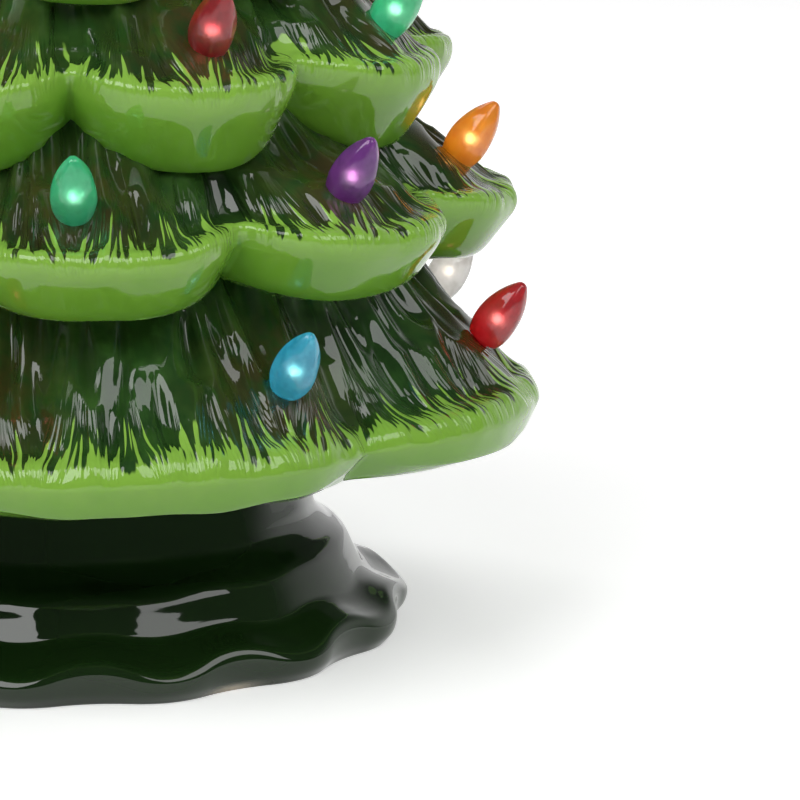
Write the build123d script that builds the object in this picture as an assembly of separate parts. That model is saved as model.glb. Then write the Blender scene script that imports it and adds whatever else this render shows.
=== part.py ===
"""A lit ceramic Christmas tree on a fluted base, as separate pieces.

Millimetres, +Z up, origin on the axis at the level the base stands on.  Turns are measured round
+Z from -Y, the front, towards +X.
"""
from build123d import *
import os
from math import cos, radians, sin
from typing import NamedTuple


class Tier(NamedTuple):
    """One tier of branches; heights are above the plane where the tree sits on its base."""
    lobes: int
    turn: float
    tip_radius: float
    tip_height: float
    crease_depth: float
    scallop: float
    top_radius: float
    top_height: float
    low_radius: float
    low_height: float
    low_crease_depth: float
    bulb_turn: float
    bulbs: str
    bulb_shifts: tuple = ()   # extra turn of the first bulbs, which sit a little off the even ring


class BaseRing(NamedTuple):
    """One level of the base's outline and how deep its flutes are there."""
    radius: float
    height: float
    wave: float


# Tree: one casting of stacked tiers, each a ring of lobes with a sharp crease between neighbours
tiers = [
    Tier(6, 9.7, 131.5, 1.0, 13.0, 1.0, 85.0, 56.0, 120.0, -5.0, 11.7, 30.0,
         "blue red clear green amber purple blue red", (0.0, -2.0, -12.0)),
    Tier(9, 3.7, 122.5, 52.0, 17.0, 7.0, 76.0, 92.0, 96.0, 37.0, 38.0, 0.0,
         "green purple amber red blue clear green purple red"),
    Tier(9, 20.3, 108.0, 88.5, 18.0, 12.0, 66.0, 130.0, 91.0, 61.0, 51.0, 22.0,
         "red green red blue amber purple clear green blue"),
    Tier(8, 5.0, 91.5, 125.0, 15.0, 11.0, 52.0, 164.0, 74.0, 100.0, 30.0, 5.0,
         "amber blue clear red green purple blue purple"),
    Tier(7, 25.0, 74.0, 160.0, 12.0, 10.0, 37.0, 197.0, 57.0, 137.0, 35.0, 25.0,
         "green purple red amber clear blue red"),
    Tier(6, 0.0, 56.0, 193.0, 9.0, 7.0, 22.0, 227.0, 40.0, 172.0, 28.0, 0.0,
         "blue amber green red purple clear"),
    Tier(5, 30.0, 37.5, 223.0, 6.0, 5.0, 9.0, 260.0, 23.0, 204.0, 15.0, 30.0,
         "red clear blue amber green"),
]
tip_rounding_up = 0.20        # share of the ridge and of the lower face taken by the rounded tip
tip_rounding_down = 0.42
crease_at_top = 1.5           # depth of the creases where a tier runs into the one above
wall_across = 6.0             # casting wall, measured level
wall_at_tip = 11.0            # the hollow's lobes are pointed and stop further behind the rounded tips
floor_thickness = 5.0
underside_radius = 104.0
underside_slope = 6.0
cut_overshoot = 1.0           # how far a cut runs on past the face that it opens

# Bulbs: clear coloured teardrops with a peg, in an even ring on every tier
bulb_along_ridge = 0.40       # from the tip towards the top of the ridge
bulb_lean = 54.0              # degrees above the level
bulb_length = 18.5
bulb_radius = 5.7
bulb_waist_height = 5.6
bulb_foot_radius = 4.4
bulb_tip_radius = 1.9
bulb_sink = 1.5
peg_radius = 2.4
peg_length = 7.0
peg_clearance = 0.15
seat_clearance = 1.2
bulb_hole_depth = 12.0

# Star on top
star_radius = 27.0
star_waist_radius = 11.5
star_depth = 16.0
star_rise = 24.0
star_collar_radius = 7.0
star_collar_height = 2.0
star_neck_radius = 3.6
star_stem_radius = 4.0
star_stem_length = 15.0
star_stem_clearance = 0.3
star_hole_depth = 46.0

# Base: a fluted casting, hollow from below, in three rolls under a neck
base_height = 60.0
flutes = 14
flute_turn = 15.0
neck_radius = 62.5
foot = BaseRing(85.5, 0.0, 1.8)
lip_swell = BaseRing(94.5, 9.5, 3.0)
lip_groove = BaseRing(77.5, 14.5, 1.2)
roll_swell = BaseRing(75.5, 20.0, 0.9)
roll_groove = BaseRing(72.0, 25.0, 0.6)
waist_swell = BaseRing(64.0, 29.5, 0.3)
neck_start = BaseRing(63.0, 40.0, 0.0)

base_ceiling = 6.0
foot_rim = 11.5               # wall between the foot's edge and the tray's recess
recess_depth = 7.5
roll_wall = 8.0
hollow_straight = 14.0
waist_wall = 7.0
hollow_waist_height = 32.0
neck_wall = 6.0
collar_radius = 56.0
collar_wall = 6.0
collar_height = 5.0
collar_clearance = 0.6

# Lamp on the base's top: holder, board, emitters and dome
lamp_hole_radius = 18.2
sleeve_clearance = 0.2
sleeve_wall = 2.8
sleeve_length = 14.0
holder_radius = 26.0
holder_thickness = 2.5
holder_hole_radius = 9.0
dome_radius = 23.0
dome_wall = 1.6
dome_straight = 10.0
dome_seat_clearance = 0.2
dome_seat_wall = 1.6
dome_seat_height = 2.0
board_radius = 17.0
board_thickness = 1.6
post_radius = 3.0
post_height = 3.5
post_spread = 12.5
emitter_radius = 2.5
emitter_height = 4.0
emitter_circle = 8.0
emitter_count = 4
screw_radius = 0.95
screw_head_radius = 2.0
screw_head_height = 1.3
screw_bite = 3.0
screw_clearance = 0.05
screw_hole_clearance = 0.25

# Battery tray, door and cells under the base
tray_clearance = 0.4
tray_plate = 4.0
tray_wall = 2.4
tray_ceiling = 1.8
cell_radius = 7.25
cell_length = 50.5
cell_nub_radius = 2.75
cell_nub_length = 1.0
cell_pitch = 15.1
cell_count = 3
cell_headroom = 0.4
contact_thickness = 0.5
contact_half_width = 3.5
contact_half_height = 5.0
spring_length = 5.0
door_thickness = 2.4
door_lip = 1.4
door_clearance = 0.3
hinge_barrel_radius = 1.7
hinge_pin_radius = 0.9
hinge_pin_length = 1.6
hinge_pin_clearance = 0.05
finger_notch_radius = 7.0
finger_notch_depth = 1.6

# Slide switch beside the tray's box
switch_inset = 27.0           # from the recess's wall to the middle of the switch
switch_half_width = 5.0
switch_half_length = 9.5
switch_height = 6.5
switch_ear_length = 5.0
switch_ear_height = 2.0
switch_travel = 5.0
switch_gap = 0.4
knob_half_width = 1.6
knob_half_length = 2.0
knob_reach = 1.7
knob_head_half_width = 3.0
knob_head_half_length = 4.0
knob_head_height = 1.8
knob_head_gap = 0.15

# Leads
lead_radius = 0.9
lead_spread = 4.0

# Places worked out from the sizes above
seat = base_height
skirt = seat + tiers[0].low_height
tree_top = seat + tiers[-1].top_height
recess_radius = foot.radius - foot_rim
recess_top = recess_depth
hollow_radius = roll_swell.radius - roll_wall
hollow_waist_radius = waist_swell.radius - waist_wall
hollow_top_radius = neck_radius - neck_wall
switch_place = recess_radius - switch_inset
tray_low = recess_top - tray_plate
door_top = tray_low + door_thickness
cell_middle = door_top + cell_headroom + cell_radius
pocket_top = cell_middle + cell_radius + cell_headroom
tray_top = pocket_top + tray_ceiling
pocket_half_width = cell_count * cell_pitch / 2 + cell_headroom
pocket_half_length = (contact_thickness + cell_length + spring_length) / 2
hinge_place = -(pocket_half_length + door_lip - hinge_barrel_radius)
hinge_height = tray_low + hinge_barrel_radius
holder_top = seat + holder_thickness
board_low = holder_top + post_height
board_top = board_low + board_thickness
dome_inner = dome_radius - dome_wall
switch_low = recess_top
ear_middle = switch_half_length + switch_ear_length / 2


def around(radius, turn, height):
    """The point at a radius and turn from the axis."""
    return Vector(radius * sin(radians(turn)), -radius * cos(radians(turn)), height)


def between(start, end, share):
    """The point that lies a share of the way from start to end."""
    return tuple(a + (b - a) * share for a, b in zip(start, end))


def post(radius, low, high, x=0.0, y=0.0):
    """A round post from one height to another."""
    upright = (Align.CENTER, Align.CENTER, Align.MIN)
    return Pos(x, y, low) * Cylinder(radius, high - low, align=upright)


def block(half_x, half_y, low, high, x=0.0, y=0.0):
    """A block about (x, y) from one height to another."""
    upright = (Align.CENTER, Align.CENTER, Align.MIN)
    return Pos(x, y, low) * Box(2 * half_x, 2 * half_y, high - low, align=upright)


def turned(points):
    """A solid turned about the axis from an outline of (radius, height) points."""
    return revolve(Plane.XZ * make_face(Polyline(*points, close=True)), Axis.Z)


def column(turn, points):
    """Control points at one turn from (radius, height) points."""
    return [around(radius, turn, height) for radius, height in points]


def wave_middle(edge, crest, half_turn):
    """The control (radius, height) points that carry a wave from its edges over its crest."""
    points = []
    for (edge_radius, edge_height), (crest_radius, crest_height) in zip(edge, crest):
        radius = 2 * crest_radius - edge_radius * cos(radians(half_turn))
        points.append((radius, 2 * crest_height - edge_height))
    return points


def ring_solid(waves, bands):
    """A closed solid from waves round the axis, each a (left, middle, right) set of control columns.

    Every band is a run of rows of the columns: two rows make a straight slope, three a rounded one.
    """
    sides = []
    for wave in waves:
        for band in bands:
            sides.append(Face.make_bezier_surface([[points[row] for row in band] for points in wave]))
    caps = []
    for row in (bands[0][0], bands[-1][-1]):
        caps.append(Face(Wire([Edge.make_bezier(*[points[row] for points in wave]) for wave in waves])))
    return Solid(Shell(sides + caps))


def tier_points(tier, wall=0.0, tip_wall=0.0):
    """(radius, height) of the top, tip and low edge down a lobe's crest and down the crease beside it."""
    top = (tier.top_radius - wall, seat + tier.top_height)
    tip = (tier.tip_radius - tip_wall, seat + tier.tip_height)
    low = (tier.low_radius - wall, seat + tier.low_height)
    crease_top = (top[0] - crease_at_top, top[1])
    crease_tip = (tip[0] - tier.crease_depth, tip[1] + tier.scallop)
    crease_low = (low[0] - tier.low_crease_depth, low[1])
    return [top, tip, low], [crease_top, crease_tip, crease_low]


def tier_waves(tier, crest, crease):
    """The control columns of a tier's lobes from the points down a crest and down a crease."""
    half_turn = 180.0 / tier.lobes
    middle = wave_middle(crease, crest, half_turn)
    waves = []
    for lobe in range(tier.lobes):
        turn = tier.turn + 2 * half_turn * lobe
        left = column(turn - half_turn, crease)
        right = column(turn + half_turn, crease)
        waves.append((left, column(turn, middle), right))
    return waves


def rounded(top, tip, low):
    """Control points down a lobe: ridge, corner of the rounded tip, lower face."""
    return [top, between(tip, top, tip_rounding_up), tip, between(tip, low, tip_rounding_down), low]


def tier_solid(tier):
    """A tier as a closed solid: straight ridges, rounded tips, straight lower faces."""
    crest, crease = tier_points(tier)
    return ring_solid(tier_waves(tier, rounded(*crest), rounded(*crease)), [(0, 1), (1, 2, 3), (3, 4)])


def tier_hollow(tier):
    """The hollow of one tier, lobed like its outside but with plain pointed tips."""
    crest, crease = tier_points(tier, wall_across, wall_at_tip)
    return ring_solid(tier_waves(tier, crest, crease), [(0, 1), (1, 2)])


def ridge_point(tier, turn):
    """Where a bulb sits: up a lobe's ridge by the bulbs' share, across the lobe by its turn."""
    half_turn = 180.0 / tier.lobes
    lobe = round((turn - tier.turn) / (2 * half_turn))
    across = 0.5 + (turn - tier.turn) / (2 * half_turn) - lobe
    crest, crease = [[between(tip, top, bulb_along_ridge)] for top, tip, _ in tier_points(tier)]
    waves = tier_waves(tier, crest, crease)
    left, middle, right = [points[0] for points in waves[lobe % tier.lobes]]
    return left * (1 - across) ** 2 + middle * 2 * across * (1 - across) + right * across ** 2


def bulb_places():
    """Where each bulb sits, as (colour, location) with Z along the bulb and zero on its seat."""
    places = []
    for tier in tiers:
        colours = tier.bulbs.split()
        shifts = tier.bulb_shifts + (0.0,) * len(colours)
        for number, colour in enumerate(colours):
            turn = tier.bulb_turn + number * 360.0 / len(colours) + shifts[number]
            lean = around(cos(radians(bulb_lean)), turn, sin(radians(bulb_lean)))
            level = around(1.0, turn + 90.0, 0.0)
            frame = Plane(origin=ridge_point(tier, turn) - lean * bulb_sink, x_dir=level, z_dir=lean)
            places.append((colour, frame.location))
    return places


def tree_shell():
    """The hollow casting: tiers fused, hollow cut out, floor opened over the base's collar."""
    tree = tier_solid(tiers[0]).fuse(*[tier_solid(tier) for tier in tiers[1:]])
    floor_top = seat + floor_thickness
    floor = post(tiers[0].tip_radius, skirt, floor_top)
    hollows = [tier_hollow(tiers[0]).cut(floor)] + [tier_hollow(tier) for tier in tiers[1:-1]]
    edge = skirt - cut_overshoot
    underside = turned([(0, edge), (underside_radius, edge), (underside_radius, skirt),
                        (underside_radius - underside_slope, seat), (0, seat)])
    opening = post(collar_radius + collar_clearance, seat, floor_top)
    star_hole = post(star_stem_radius + star_stem_clearance, tree_top - star_hole_depth, tree_top)
    drills = [place * bulb_drill() for _, place in bulb_places()]
    for hollow in hollows:
        tree = tree.cut(hollow)
    return tree.cut(underside, opening, star_hole, *drills)


def bulb_drill():
    """What is cut for one bulb: the peg's hole and a flat seat that clears the teardrop."""
    hole = post(peg_radius + peg_clearance, -bulb_hole_depth, 0)
    return hole + post(bulb_foot_radius + seat_clearance, 0, bulb_length)


def bulb():
    """One bulb: peg, flat foot and a teardrop of three arcs that run into each other."""
    peg = Polyline((0, bulb_length), (0, -peg_length), (peg_radius, -peg_length), (peg_radius, 0),
                   (bulb_foot_radius, 0))
    waist = (bulb_radius, bulb_waist_height)
    bowl = TangentArc(waist, (bulb_foot_radius, 0), tangent=(0, -1))
    tip_middle = bulb_length - bulb_tip_radius
    rise = tip_middle - bulb_waist_height
    taper = bulb_radius - bulb_tip_radius
    side_radius = (bulb_radius ** 2 + rise ** 2 - bulb_tip_radius ** 2) / (2 * taper)
    tip_share = bulb_tip_radius / (side_radius - bulb_tip_radius)
    tip_start = (tip_share * (side_radius - bulb_radius), tip_middle + tip_share * rise)
    side = TangentArc(waist, tip_start, tangent=(0, 1))
    tip = TangentArc(tip_start, (0, bulb_length), tangent=side % 1)
    return revolve(Plane.XZ * make_face(peg + bowl + side + tip), Axis.Z)


def star_topper():
    """A plain five-pointed star, ridged on both faces, on a collar with a stem."""
    middle = tree_top + star_collar_height + star_rise
    corners = []
    for corner in range(10):
        radius = star_waist_radius if corner % 2 else star_radius
        angle = radians(36.0 * corner)
        corners.append((radius * sin(angle), 0, middle + radius * cos(angle)))
    outline = Wire(Polyline(*corners, close=True))
    front = Vertex(0, -star_depth / 2, middle)
    back = Vertex(0, star_depth / 2, middle)
    star = Solid.make_loft([front, outline, back], ruled=True)
    neck = post(star_neck_radius, tree_top, middle)
    collar = post(star_collar_radius, tree_top, tree_top + star_collar_height)
    stem = post(star_stem_radius, tree_top - star_stem_length, tree_top)
    return star + neck + collar + stem


def base_shell():
    """The fluted casting with its hollow, shoulder, collar and lamp hole."""
    rings = [BaseRing(neck_radius, base_height, 0.0), neck_start, waist_swell, roll_groove, roll_swell,
             lip_groove, lip_swell, foot]
    level = [(ring.radius, ring.height) for ring in rings]
    crest = [(ring.radius + ring.wave, ring.height) for ring in rings]
    valley = [(ring.radius - ring.wave, ring.height) for ring in rings]
    quarter_turn = 90.0 / flutes
    waves = []
    for half_flute in range(2 * flutes):
        turn = flute_turn + 2 * quarter_turn * half_flute
        middle = wave_middle(level, valley if half_flute % 2 else crest, quarter_turn)
        left = column(turn - quarter_turn, level)
        right = column(turn + quarter_turn, level)
        waves.append((left, column(turn, middle), right))
    shell = ring_solid(waves, [(0, 1), (1, 2, 3), (3, 4, 5), (5, 6, 7)])
    ceiling = seat - base_ceiling
    hollow = turned([(0, -cut_overshoot), (recess_radius, -cut_overshoot), (recess_radius, recess_top),
                     (hollow_radius, recess_top), (hollow_radius, hollow_straight),
                     (hollow_waist_radius, hollow_waist_height), (hollow_top_radius, ceiling), (0, ceiling)])
    collar = post(collar_radius, seat, seat + collar_height)
    collar -= post(collar_radius - collar_wall, seat, seat + collar_height)
    lamp_hole = post(lamp_hole_radius, ceiling, seat)
    return shell - hollow - lamp_hole + collar


def board_screw_places():
    """The two screws of the lamp board."""
    return [(-post_spread, 0.0), (post_spread, 0.0)]


def lamp_holder():
    """A flanged sleeve in the base's top with posts for the board and a ring for the dome."""
    sleeve_radius = lamp_hole_radius - sleeve_clearance
    holder = post(holder_radius, seat, holder_top) + post(sleeve_radius, seat - sleeve_length, seat)
    seat_ring = dome_inner - dome_seat_clearance
    holder += post(seat_ring, holder_top, holder_top + dome_seat_height)
    holder -= post(seat_ring - dome_seat_wall, holder_top, holder_top + dome_seat_height)
    holder -= post(holder_hole_radius, seat - sleeve_length, holder_top)
    holder -= post(sleeve_radius - sleeve_wall, seat - sleeve_length, seat)
    for x, y in board_screw_places():
        holder += post(post_radius, holder_top, board_low, x, y)
        holder -= post(screw_radius + screw_clearance, board_low - screw_bite, board_low, x, y)
    return holder


def led_board():
    """The round board with its screw holes."""
    board = post(board_radius, board_low, board_top)
    for x, y in board_screw_places():
        board -= post(screw_radius + screw_hole_clearance, board_low, board_top, x, y)
    return board


def led_emitters():
    """A middle emitter and a ring of them, each a short post with a round top."""
    one = post(emitter_radius, board_top, board_top + emitter_height)
    one += Pos(0, 0, board_top + emitter_height) * Sphere(emitter_radius)
    step = 360.0 / emitter_count
    ring = [Rotation(0, 0, step / 2 + step * place) * Pos(emitter_circle, 0, 0) * one
            for place in range(emitter_count)]
    return Compound([one] + ring)


def screws(places, under_head, bite):
    """Plain screws whose heads rest at one height."""
    made = []
    for x, y in places:
        head = post(screw_head_radius, under_head, under_head + screw_head_height, x, y)
        made.append(head + post(screw_radius, under_head - bite, under_head, x, y))
    return Compound(made)


def diffuser_dome():
    """A thin translucent cap over the board, straight below and rounded above."""
    dome = post(dome_radius, 0, dome_straight) + Pos(0, 0, dome_straight) * Sphere(dome_radius)
    dome -= post(dome_inner, 0, dome_straight) + Pos(0, 0, dome_straight) * Sphere(dome_inner)
    dome -= post(dome_radius, dome_straight - dome_radius, 0)
    return Pos(0, 0, holder_top) * dome


def switch_screw_places():
    """The two screws through the switch's ears."""
    return [(switch_place, -ear_middle), (switch_place, ear_middle)]


def battery_tray():
    """The round plate that closes the base, with the cells' box, the door's recess and switch slot."""
    door_half_width = pocket_half_width + door_lip
    door_half_length = pocket_half_length + door_lip
    barrel_room = hinge_barrel_radius + door_clearance
    tray = post(recess_radius - tray_clearance, tray_low, recess_top)
    tray += block(pocket_half_width + tray_wall, pocket_half_length + tray_wall, recess_top, tray_top)
    tray -= block(pocket_half_width, pocket_half_length, door_top, pocket_top)
    tray -= block(door_half_width + door_clearance, door_half_length + door_clearance, tray_low, door_top)
    barrel_slot = block(door_half_width + door_clearance, barrel_room, tray_low, hinge_height + barrel_room)
    tray -= Pos(0, hinge_place, 0) * barrel_slot
    pin_reach = door_half_width + door_clearance + hinge_pin_length
    pin_bore = Cylinder(hinge_pin_radius + hinge_pin_clearance, 2 * pin_reach, rotation=(0, 90, 0))
    tray -= Pos(0, hinge_place, hinge_height) * pin_bore
    tray -= post(finger_notch_radius, tray_low, tray_low + finger_notch_depth, 0, door_half_length)
    slot_half_length = knob_half_length + switch_travel / 2 + switch_gap
    tray -= block(knob_half_width + switch_gap, slot_half_length, tray_low, recess_top, switch_place)
    for x, y in switch_screw_places():
        tray -= post(screw_radius + screw_clearance, recess_top - screw_bite, recess_top, x, y)
    return tray


def battery_door():
    """The flat door with its hinge barrel and the two pins that turn in the tray."""
    half_width = pocket_half_width + door_lip
    half_length = pocket_half_length + door_lip
    door = block(half_width, half_length, tray_low, door_top)
    door -= Pos(0, hinge_place, 0) * block(half_width, hinge_barrel_radius, tray_low, door_top)
    door += Pos(0, hinge_place, hinge_height) * Cylinder(
        hinge_barrel_radius, 2 * half_width, rotation=(0, 90, 0))
    web = block(half_width, hinge_barrel_radius / 2, tray_low, hinge_height)
    door += Pos(0, hinge_place + hinge_barrel_radius / 2, 0) * web
    pin_reach = half_width + hinge_pin_length
    door += Pos(0, hinge_place, hinge_height) * Cylinder(hinge_pin_radius, 2 * pin_reach, rotation=(0, 90, 0))
    return door


def cell_rows():
    """Each cell's place across the tray and which way it points, turn and turn about."""
    rows = []
    for cell in range(cell_count):
        across = (cell - (cell_count - 1) / 2) * cell_pitch
        rows.append((across, 1 if cell % 2 == 0 else -1))
    return rows


def facing(across, way, shape):
    """A piece made for a cell that points along +Y, put in its row."""
    turn = 0.0 if way > 0 else 180.0
    return Pos(across, 0, cell_middle) * Rotation(0, 0, turn) * shape


def battery_cells():
    """Round cells with their nubs, pushed against the plates by the springs."""
    nub_end = pocket_half_length - contact_thickness
    can_length = cell_length - cell_nub_length
    can = Cylinder(cell_radius, can_length, rotation=(90, 0, 0))
    nub = Cylinder(cell_nub_radius, cell_nub_length, rotation=(90, 0, 0))
    cell = Pos(0, nub_end - cell_nub_length - can_length / 2, 0) * can
    cell += Pos(0, nub_end - cell_nub_length / 2, 0) * nub
    return Compound([facing(across, way, cell) for across, way in cell_rows()])


def contact_plates():
    """A flat plate at the nub of each cell."""
    plate = Box(2 * contact_half_width, contact_thickness, 2 * contact_half_height)
    plate = Pos(0, pocket_half_length - contact_thickness / 2, 0) * plate
    return Compound([facing(across, way, plate) for across, way in cell_rows()])


def contact_springs():
    """A bent leaf at the flat end of each cell."""
    back = -pocket_half_length
    tip = back + spring_length
    leaf = contact_thickness
    low = -contact_half_height
    outline = Polyline((back, low), (back, -low), (back + leaf, -low), (back + leaf, low + 2 * leaf),
                       (tip, 2 * leaf), (tip, leaf), (back + 2 * leaf, low), close=True)
    strip = extrude(Plane.YZ * make_face(outline), contact_half_width, both=True)
    return Compound([facing(across, way, strip) for across, way in cell_rows()])


def switch_body():
    """The switch's case with its ears, open below for the knob's head."""
    top = switch_low + switch_height
    case = block(switch_half_width, switch_half_length, switch_low, top, switch_place)
    ears = block(switch_half_width, switch_half_length + switch_ear_length, switch_low,
                 switch_low + switch_ear_height, switch_place)
    pocket = block(knob_head_half_width + switch_gap, knob_head_half_length + switch_travel / 2 + switch_gap,
                   switch_low, switch_low + knob_head_height + 2 * knob_head_gap, switch_place)
    body = case + ears - pocket
    for x, y in switch_screw_places():
        body -= post(screw_radius + screw_hole_clearance, switch_low, switch_low + switch_ear_height, x, y)
    return body


def switch_knob():
    """The knob, in its lit position at the back end of its slot."""
    head_low = switch_low + knob_head_gap
    place = switch_travel / 2
    knob = block(knob_head_half_width, knob_head_half_length, head_low, head_low + knob_head_height,
                 switch_place, place)
    knob += block(knob_half_width, knob_half_length, tray_low - knob_reach, head_low, switch_place, place)
    return knob


def lead_wires():
    """Two leads up to the board and one from the cells' box to the switch."""
    box_side = pocket_half_width + tray_wall
    switch_side = switch_place - switch_half_width
    lead_level = switch_low + switch_height / 2
    across = Cylinder(lead_radius, switch_side - box_side, rotation=(0, 90, 0))
    leads = [post(lead_radius, tray_top, board_low, x) for x in (-lead_spread, lead_spread)]
    leads.append(Pos((box_side + switch_side) / 2, 0, lead_level) * across)
    return Compound(leads)


def bulbs_by_colour():
    """All bulbs of each colour as one group of separate solids."""
    one = bulb()
    groups = {}
    for colour, place in bulb_places():
        groups.setdefault(colour, []).append(place * one)
    return {"bulbs_" + colour: Compound(group) for colour, group in groups.items()}


def main():
    """Writes every piece to its own file."""
    os.makedirs("parts", exist_ok=True)
    pieces = {
        "tree_shell": tree_shell(),
        "star_topper": star_topper(),
        "base_shell": base_shell(),
        "lamp_holder": lamp_holder(),
        "led_board": led_board(),
        "led_emitters": led_emitters(),
        "board_screws": screws(board_screw_places(), board_top, board_thickness + screw_bite),
        "diffuser_dome": diffuser_dome(),
        "battery_tray": battery_tray(),
        "battery_door": battery_door(),
        "battery_cells": battery_cells(),
        "contact_plates": contact_plates(),
        "contact_springs": contact_springs(),
        "switch_body": switch_body(),
        "switch_knob": switch_knob(),
        "switch_screws": screws(switch_screw_places(), switch_low + switch_ear_height,
                                switch_ear_height + screw_bite),
        "lead_wires": lead_wires(),
    }
    pieces.update(bulbs_by_colour())
    for name, piece in pieces.items():
        export_step(piece, f"parts/{name}.step")


main()
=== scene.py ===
"""Lit ceramic Christmas tree: glazed tiers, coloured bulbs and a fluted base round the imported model."""
from collections import namedtuple
import bpy
import numpy as np
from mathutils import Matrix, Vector


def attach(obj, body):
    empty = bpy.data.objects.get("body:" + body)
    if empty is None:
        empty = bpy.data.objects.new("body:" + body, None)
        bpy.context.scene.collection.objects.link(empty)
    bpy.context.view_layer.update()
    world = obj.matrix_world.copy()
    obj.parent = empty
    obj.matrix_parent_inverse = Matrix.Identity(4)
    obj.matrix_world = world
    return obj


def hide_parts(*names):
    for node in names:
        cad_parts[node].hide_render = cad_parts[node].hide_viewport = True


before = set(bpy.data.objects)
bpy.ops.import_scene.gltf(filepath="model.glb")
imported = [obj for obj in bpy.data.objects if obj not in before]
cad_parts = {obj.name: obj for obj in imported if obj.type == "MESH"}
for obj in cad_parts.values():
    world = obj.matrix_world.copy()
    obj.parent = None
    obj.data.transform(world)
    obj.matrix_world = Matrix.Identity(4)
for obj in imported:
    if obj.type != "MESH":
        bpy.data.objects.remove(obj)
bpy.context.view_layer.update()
MM = 0.001
SEAT = 60.0                # height of the plane where the tree sits on its base, mm


def even(first, count):
    """Turns of bulbs at even steps round the axis."""
    return [first + 360.0 / count * step for step in range(count)]


# Tiers of the casting from the skirt up, in mm and degrees, heights above the seat. The crease and the scallop are how
# far the creases between the lobes go in and rise at the tip; low is the edge underneath.
Tier = namedtuple("Tier", "lobes turn tip_r tip_z crease scallop top_r top_z low_r low_z low_crease bulb_turns colours")
TIERS = [Tier(*row) for row in (
    (6, 9.7, 131.5, 1.0, 13.0, 1.0, 85.0, 56.0, 120.0, -5.0, 11.7, [30.0, 73.0, 108.0] + even(30.0, 8)[3:],
     "blue red clear green amber purple blue red"),
    (9, 3.7, 122.5, 52.0, 17.0, 7.0, 76.0, 92.0, 96.0, 37.0, 38.0, even(0.0, 9),
     "green purple amber red blue clear green purple red"),
    (9, 20.3, 108.0, 88.5, 18.0, 12.0, 66.0, 130.0, 91.0, 61.0, 51.0, even(22.0, 9),
     "red green red blue amber purple clear green blue"),
    (8, 5.0, 91.5, 125.0, 15.0, 11.0, 52.0, 164.0, 74.0, 100.0, 30.0, even(5.0, 8),
     "amber blue clear red green purple blue purple"),
    (7, 25.0, 74.0, 160.0, 12.0, 10.0, 37.0, 197.0, 57.0, 137.0, 35.0, even(25.0, 7),
     "green purple red amber clear blue red"),
    (6, 0.0, 56.0, 193.0, 9.0, 7.0, 22.0, 227.0, 40.0, 172.0, 28.0, even(0.0, 6),
     "blue amber green red purple clear"),
    (5, 30.0, 37.5, 223.0, 6.0, 5.0, 9.0, 260.0, 23.0, 204.0, 15.0, even(30.0, 5),
     "red clear blue amber green"),
)]
CREASE_TOP = 1.5           # depth of the creases at a tier's top, mm
CREASE_SHARE = 0.35        # of the fold's lift and the face's drop that a crease has
FULL_SCALLOP = 7.0         # a crease that rises further has its fold brought down by the rest, mm
TUCK = 8.0                 # of a crease's edge below the top of the tier under it, mm
FOLD_LIFT = (6.5, 5.5, 6.5, 6.5, 5.5, 4.5, 4.0)       # of the fold over each lobe's widest point, mm
FACE_DROP = (4.5, 11.0, 14.5, 11.0, 9.0, 7.5, 6.0)    # of the pale face's lower edge below it, mm
FACE_LEAN = (5.0, 13.0, 14.0, 11.0, 9.0, 7.5, 6.0)    # of that edge inwards from it, mm
FOLD_IN = 0.5                              # of the fold inwards from it, mm
UNDER_IN, UNDER_DOWN = 10.0, 2.0           # of the underside's end from that edge, mm
FOLD_FROM, FOLD_TO = 0.16, 0.35            # shares of the ridge and of the face that the rounded fold takes
EDGE_FROM, EDGE_TO = 0.20, 0.12            # shares of the face and of the underside that the rounded edge takes
LOBE_POWER = 2.5                           # of the curve across a lobe: 2 is a parabola, more is fuller
SKIRT_INSET = 3.2                          # keeps the skirt's lobes inside the box of the solid, mm
BANDS = ((0, 1), (1, 2, 3), (3, 4), (4, 5, 6), (6, 7))    # control rows of ridge, fold, face, edge and underside
BAND_ROWS = (50, 16, 8, 6, 4)              # rows of points in each band
SKIRT_COLUMNS, LOBE_COLUMNS = 160, 108     # of points across a lobe of the skirt and of the tiers above
SHOWN_TIERS, PLAINER = 3, 0.8              # photographed tiers, and the share of rows and columns that the others have

# Relief cut into the tiers, in mm: the width and length of a cell, the first seed and the depth
Relief = namedtuple("Relief", "width length seed depth")
FOLDS = Relief(27.0, 55.0, 11, 2.2)        # wide folds down the ridge
FACETS = Relief(15.0, 27.0, 31, 2.3)       # broad drops on the ridge
GROOVES = Relief(7.5, 24.0, 51, 1.7)       # narrow drops among them
DENTS = Relief(14.0, 15.0, 71, 0.9)        # soft dents in the pale face
FLUTES = Relief(5.5, 50.0, 91, 1.3)        # short flutes across the fold
FACET_SHARE, GROOVE_SHARE = 0.7, 0.5       # of the cells that have a drop
RIDGE_FROM, RIDGE_FULL = 2.0, 9.0          # heights over the fold where the ridge's relief sets in and is full, mm
FLUTE_AT, FLUTE_REACH = 2.0, 6.0           # of the flutes over the fold, mm
HOLLOW_CREST, HOLLOW_FLANK = 1.5, 4.5      # depth of the hollow in a crest, and what it gains towards a crease, mm
HOLLOW_FROM = 0.25                         # share of the ridge over which the hollow sets in
SEAT_REACH, SEAT_DIP = 9.0, 2.2            # of the dip at a bulb, mm
SEAT_CALM = 0.85                           # share of the relief that is left out there
HALO_REACH = 15.0                          # of the brown round a bulb, mm

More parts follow.
